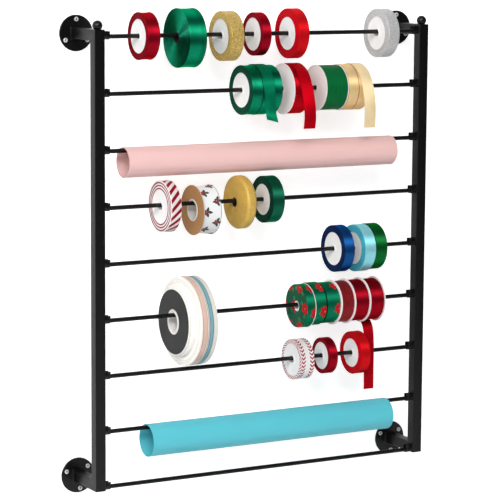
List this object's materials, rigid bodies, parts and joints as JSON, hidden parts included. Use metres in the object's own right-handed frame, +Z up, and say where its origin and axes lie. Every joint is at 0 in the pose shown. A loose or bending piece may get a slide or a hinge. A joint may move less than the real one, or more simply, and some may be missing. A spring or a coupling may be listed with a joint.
{
  "type": "ribbon rack",
  "caption": "Wall rack of square steel tube with lift-out rods in open cradles, loaded with ribbon spools, large reels, paper rolls and hanging ribbon ends.",
  "frame": {"origin": "centre of the lower left wall flange, on the wall plane", "axes": "+X along the rods to the right, +Y into the wall, +Z up"},
  "size_m": [0.752, 0.205, 0.8972],
  "materials": {
    "frame_black": "satin",
    "rod_black": "satin",
    "screw_steel": "satin",
    "satin_crimson": "satin",
    "satin_emerald": "satin",
    "glitter_gold": "satin",
    "satin_scarlet": "satin",
    "satin_silver": "satin",
    "satin_red": "satin",
    "grosgrain_green": "matte",
    "satin_cream": "satin",
    "candy_stripe": "satin",
    "printed_white": "matte",
    "mesh_gold": "satin",
    "satin_forest": "satin",
    "satin_navy": "satin",
    "satin_cyan": "satin",
    "satin_green": "satin",
    "flower_print": "satin",
    "glitter_red": "satin",
    "satin_claret": "satin",
    "striped_edge": "satin",
    "ribbon_white": "satin",
    "ribbon_cream": "satin",
    "ribbon_peach": "satin",
    "ribbon_teal": "satin",
    "ribbon_ivory": "satin",
    "paper_pink": "gloss",
    "paper_cyan": "gloss",
    "reel_white": "matte",
    "flange_white": "gloss",
    "card_black": "matte",
    "card_brown": "matte"
  },
  "bodies": {
    "frame": {"left_upright": "frame_black", "right_upright": "frame_black", "left_arms": "frame_black", "right_arms": "frame_black", "wall_flanges": "frame_black", "wall_screws": "screw_steel", "ball_finials": "frame_black", "left_cradles": "frame_black", "right_cradles": "frame_black", "cradle_screws": "screw_steel"},
    "rod_1": {"rod_1": "rod_black"},
    "rod_2": {"rod_2": "rod_black", "green_loose_end": "satin_emerald", "red_loose_end": "satin_red", "cream_loose_end": "satin_cream"},
    "rod_3": {"rod_3": "rod_black"},
    "rod_4": {"rod_4": "rod_black"},
    "rod_5": {"rod_5": "rod_black"},
    "rod_6": {"rod_6": "rod_black", "claret_loose_end": "satin_claret"},
    "rod_7": {"rod_7": "rod_black"},
    "rod_8": {"rod_8": "rod_black"},
    "rod_9": {"rod_9": "rod_black"},
    "crimson_satin_spool": {"crimson_satin_spool": "satin_crimson"},
    "large_green_satin_spool": {"large_green_satin_spool": "satin_emerald"},
    "gold_glitter_spool": {"gold_glitter_spool": "glitter_gold"},
    "dark_red_satin_spool": {"dark_red_satin_spool": "satin_crimson"},
    "bright_red_satin_spool": {"bright_red_satin_spool": "satin_scarlet"},
    "silver_satin_spool": {"silver_satin_spool": "satin_silver"},
    "left_green_satin_spool": {"left_green_satin_spool": "satin_emerald"},
    "middle_green_satin_spool": {"middle_green_satin_spool": "satin_emerald"},
    "right_green_satin_spool": {"right_green_satin_spool": "satin_emerald"},
    "flanged_red_satin_spool": {"flanged_red_satin_spool": "satin_red"},
    "green_grosgrain_spool": {"green_grosgrain_spool": "grosgrain_green"},
    "left_cream_satin_spool": {"left_cream_satin_spool": "satin_cream"},
    "right_cream_satin_spool": {"right_cream_satin_spool": "satin_cream"},
    "candy_stripe_spool": {"candy_stripe_spool": "candy_stripe"},
    "printed_white_spool": {"printed_white_spool": "printed_white"},
    "gold_mesh_spool": {"gold_mesh_spool": "mesh_gold"},
    "dark_green_satin_spool": {"dark_green_satin_spool": "satin_forest"},
    "navy_satin_spool": {"navy_satin_spool": "satin_navy"},
    "cyan_satin_spool": {"cyan_satin_spool": "satin_cyan"},
    "mid_green_satin_spool": {"mid_green_satin_spool": "satin_green"},
    "left_poinsettia_spool": {"left_poinsettia_spool": "flower_print"},
    "middle_poinsettia_spool": {"middle_poinsettia_spool": "flower_print"},
    "right_poinsettia_spool": {"right_poinsettia_spool": "flower_print"},
    "red_glitter_spool": {"red_glitter_spool": "glitter_red"},
    "flanged_satin_spool": {"flanged_satin_spool": "satin_claret"},
    "tailed_satin_spool": {"tailed_satin_spool": "satin_claret"},
    "striped_edge_spool": {"striped_edge_spool": "striped_edge"},
    "claret_satin_spool": {"claret_satin_spool": "satin_crimson"},
    "scarlet_satin_spool": {"scarlet_satin_spool": "satin_scarlet"},
    "white_reel": {"white_reel": "ribbon_white"},
    "cream_reel": {"cream_reel": "ribbon_cream"},
    "peach_reel": {"peach_reel": "ribbon_peach"},
    "teal_reel": {"teal_reel": "ribbon_teal"},
    "ivory_reel": {"ivory_reel": "ribbon_ivory"},
    "pink_paper_roll": {"pink_paper_roll": "paper_pink"},
    "cyan_paper_roll": {"cyan_paper_roll": "paper_cyan"}
  },
  "joints": [
    {"name": "rod_1_lift", "type": "slide", "parent": "frame", "child": "rod_1", "axis": [0, 0, 1], "range_m": [0, 0.015]},
    {"name": "rod_2_lift", "type": "slide", "parent": "frame", "child": "rod_2", "axis": [0, 0, 1], "range_m": [0, 0.0071]},
    {"name": "rod_3_lift", "type": "slide", "parent": "frame", "child": "rod_3", "axis": [0, 0, 1], "range_m": [0, 0.015]},
    {"name": "rod_4_lift", "type": "slide", "parent": "frame", "child": "rod_4", "axis": [0, 0, 1], "range_m": [0, 0.0056]},
    {"name": "rod_5_lift", "type": "slide", "parent": "frame", "child": "rod_5", "axis": [0, 0, 1], "range_m": [0, 0.015]},
    {"name": "rod_6_lift", "type": "slide", "parent": "frame", "child": "rod_6", "axis": [0, 0, 1], "range_m": [0, 0.0124]},
    {"name": "rod_7_lift", "type": "slide", "parent": "frame", "child": "rod_7", "axis": [0, 0, 1], "range_m": [0, 0.0022]},
    {"name": "rod_8_lift", "type": "slide", "parent": "frame", "child": "rod_8", "axis": [0, 0, 1], "range_m": [0, 0.015]},
    {"name": "rod_9_lift", "type": "slide", "parent": "frame", "child": "rod_9", "axis": [0, 0, 1], "range_m": [0, 0.015]},
    {"name": "crimson_satin_spool_turn", "type": "hinge", "parent": "rod_1", "child": "crimson_satin_spool", "pos_m": [0.092, -0.092, 0.8148], "axis": [1, 0, 0], "continuous": true},
    {"name": "large_green_satin_spool_turn", "type": "hinge", "parent": "rod_1", "child": "large_green_satin_spool", "pos_m": [0.17485, -0.092, 0.8103], "axis": [1, 0, 0], "continuous": true},
    {"name": "gold_glitter_spool_turn", "type": "hinge", "parent": "rod_1", "child": "gold_glitter_spool", "pos_m": [0.26005, -0.092, 0.8121], "axis": [1, 0, 0], "continuous": true},
    {"name": "dark_red_satin_spool_turn", "type": "hinge", "parent": "rod_1", "child": "dark_red_satin_spool", "pos_m": [0.3239, -0.092, 0.8148], "axis": [1, 0, 0], "continuous": true},
    {"name": "bright_red_satin_spool_turn", "type": "hinge", "parent": "rod_1", "child": "bright_red_satin_spool", "pos_m": [0.39895, -0.092, 0.8148], "axis": [1, 0, 0], "continuous": true},
    {"name": "silver_satin_spool_turn", "type": "hinge", "parent": "rod_1", "child": "silver_satin_spool", "pos_m": [0.5953, -0.092, 0.8126], "axis": [1, 0, 0], "continuous": true},
    {"name": "left_green_satin_spool_turn", "type": "hinge", "parent": "rod_2", "child": "left_green_satin_spool", "pos_m": [0.30175, -0.092, 0.71235], "axis": [1, 0, 0], "continuous": true},
    {"name": "middle_green_satin_spool_turn", "type": "hinge", "parent": "rod_2", "child": "middle_green_satin_spool", "pos_m": [0.325, -0.092, 0.71235], "axis": [1, 0, 0], "continuous": true},
    {"name": "right_green_satin_spool_turn", "type": "hinge", "parent": "rod_2", "child": "right_green_satin_spool", "pos_m": [0.346, -0.092, 0.71235], "axis": [1, 0, 0], "continuous": true},
    {"name": "flanged_red_satin_spool_turn", "type": "hinge", "parent": "rod_2", "child": "flanged_red_satin_spool", "pos_m": [0.39595, -0.092, 0.71235], "axis": [1, 0, 0], "continuous": true},
    {"name": "green_grosgrain_spool_turn", "type": "hinge", "parent": "rod_2", "child": "green_grosgrain_spool", "pos_m": [0.4744, -0.092, 0.71235], "axis": [1, 0, 0], "continuous": true},
    {"name": "left_cream_satin_spool_turn", "type": "hinge", "parent": "rod_2", "child": "left_cream_satin_spool", "pos_m": [0.5097, -0.092, 0.71235], "axis": [1, 0, 0], "continuous": true},
    {"name": "right_cream_satin_spool_turn", "type": "hinge", "parent": "rod_2", "child": "right_cream_satin_spool", "pos_m": [0.5336, -0.092, 0.71235], "axis": [1, 0, 0], "continuous": true},
    {"name": "candy_stripe_spool_turn", "type": "hinge", "parent": "rod_4", "child": "candy_stripe_spool", "pos_m": [0.1348, -0.092, 0.50525], "axis": [1, 0, 0], "continuous": true},
    {"name": "printed_white_spool_turn", "type": "hinge", "parent": "rod_4", "child": "printed_white_spool", "pos_m": [0.20945, -0.092, 0.49525], "axis": [1, 0, 0], "continuous": true},
    {"name": "gold_mesh_spool_turn", "type": "hinge", "parent": "rod_4", "child": "gold_mesh_spool", "pos_m": [0.29045, -0.092, 0.50495], "axis": [1, 0, 0], "continuous": true},
    {"name": "dark_green_satin_spool_turn", "type": "hinge", "parent": "rod_4", "child": "dark_green_satin_spool", "pos_m": [0.34985, -0.092, 0.50745], "axis": [1, 0, 0], "continuous": true},
    {"name": "navy_satin_spool_turn", "type": "hinge", "parent": "rod_5", "child": "navy_satin_spool", "pos_m": [0.50405, -0.092, 0.405], "axis": [1, 0, 0], "continuous": true},
    {"name": "cyan_satin_spool_turn", "type": "hinge", "parent": "rod_5", "child": "cyan_satin_spool", "pos_m": [0.5505, -0.092, 0.4035], "axis": [1, 0, 0], "continuous": true},
    {"name": "mid_green_satin_spool_turn", "type": "hinge", "parent": "rod_5", "child": "mid_green_satin_spool", "pos_m": [0.5761, -0.092, 0.405], "axis": [1, 0, 0], "continuous": true},
    {"name": "left_poinsettia_spool_turn", "type": "hinge", "parent": "rod_6", "child": "left_poinsettia_spool", "pos_m": [0.4236, -0.092, 0.30035], "axis": [1, 0, 0], "continuous": true},
    {"name": "middle_poinsettia_spool_turn", "type": "hinge", "parent": "rod_6", "child": "middle_poinsettia_spool", "pos_m": [0.4455, -0.092, 0.30255], "axis": [1, 0, 0], "continuous": true},
    {"name": "right_poinsettia_spool_turn", "type": "hinge", "parent": "rod_6", "child": "right_poinsettia_spool", "pos_m": [0.4749, -0.092, 0.30255], "axis": [1, 0, 0], "continuous": true},
    {"name": "red_glitter_spool_turn", "type": "hinge", "parent": "rod_6", "child": "red_glitter_spool", "pos_m": [0.5052, -0.092, 0.30255], "axis": [1, 0, 0], "continuous": true},
    {"name": "flanged_satin_spool_turn", "type": "hinge", "parent": "rod_6", "child": "flanged_satin_spool", "pos_m": [0.5371, -0.092, 0.30255], "axis": [1, 0, 0], "continuous": true},
    {"name": "tailed_satin_spool_turn", "type": "hinge", "parent": "rod_6", "child": "tailed_satin_spool", "pos_m": [0.5708, -0.092, 0.30255], "axis": [1, 0, 0], "continuous": true},
    {"name": "striped_edge_spool_turn", "type": "hinge", "parent": "rod_7", "child": "striped_edge_spool", "pos_m": [0.4185, -0.092, 0.1981], "axis": [1, 0, 0], "continuous": true},
    {"name": "claret_satin_spool_turn", "type": "hinge", "parent": "rod_7", "child": "claret_satin_spool", "pos_m": [0.4783, -0.092, 0.2001], "axis": [1, 0, 0], "continuous": true},
    {"name": "scarlet_satin_spool_turn", "type": "hinge", "parent": "rod_7", "child": "scarlet_satin_spool", "pos_m": [0.5461, -0.092, 0.2001], "axis": [1, 0, 0], "continuous": true},
    {"name": "white_reel_turn", "type": "hinge", "parent": "rod_6", "child": "white_reel", "pos_m": [0.1589, -0.092, 0.29035], "axis": [1, 0, 0], "continuous": true},
    {"name": "cream_reel_turn", "type": "hinge", "parent": "rod_6", "child": "cream_reel", "pos_m": [0.169, -0.092, 0.29035], "axis": [1, 0, 0], "continuous": true},
    {"name": "peach_reel_turn", "type": "hinge", "parent": "rod_6", "child": "peach_reel", "pos_m": [0.1775, -0.092, 0.29035], "axis": [1, 0, 0], "continuous": true},
    {"name": "teal_reel_turn", "type": "hinge", "parent": "rod_6", "child": "teal_reel", "pos_m": [0.188, -0.092, 0.29035], "axis": [1, 0, 0], "continuous": true},
    {"name": "ivory_reel_turn", "type": "hinge", "parent": "rod_6", "child": "ivory_reel", "pos_m": [0.1975, -0.092, 0.29035], "axis": [1, 0, 0], "continuous": true},
    {"name": "pink_paper_roll_turn", "type": "hinge", "parent": "rod_3", "child": "pink_paper_roll", "pos_m": [0.334, -0.092, 0.5887], "axis": [1, 0, 0], "continuous": true},
    {"name": "cyan_paper_roll_turn", "type": "hinge", "parent": "rod_8", "child": "cyan_paper_roll", "pos_m": [0.3575, -0.092, 0.07335], "axis": [1, 0, 0], "continuous": true}
  ]
}
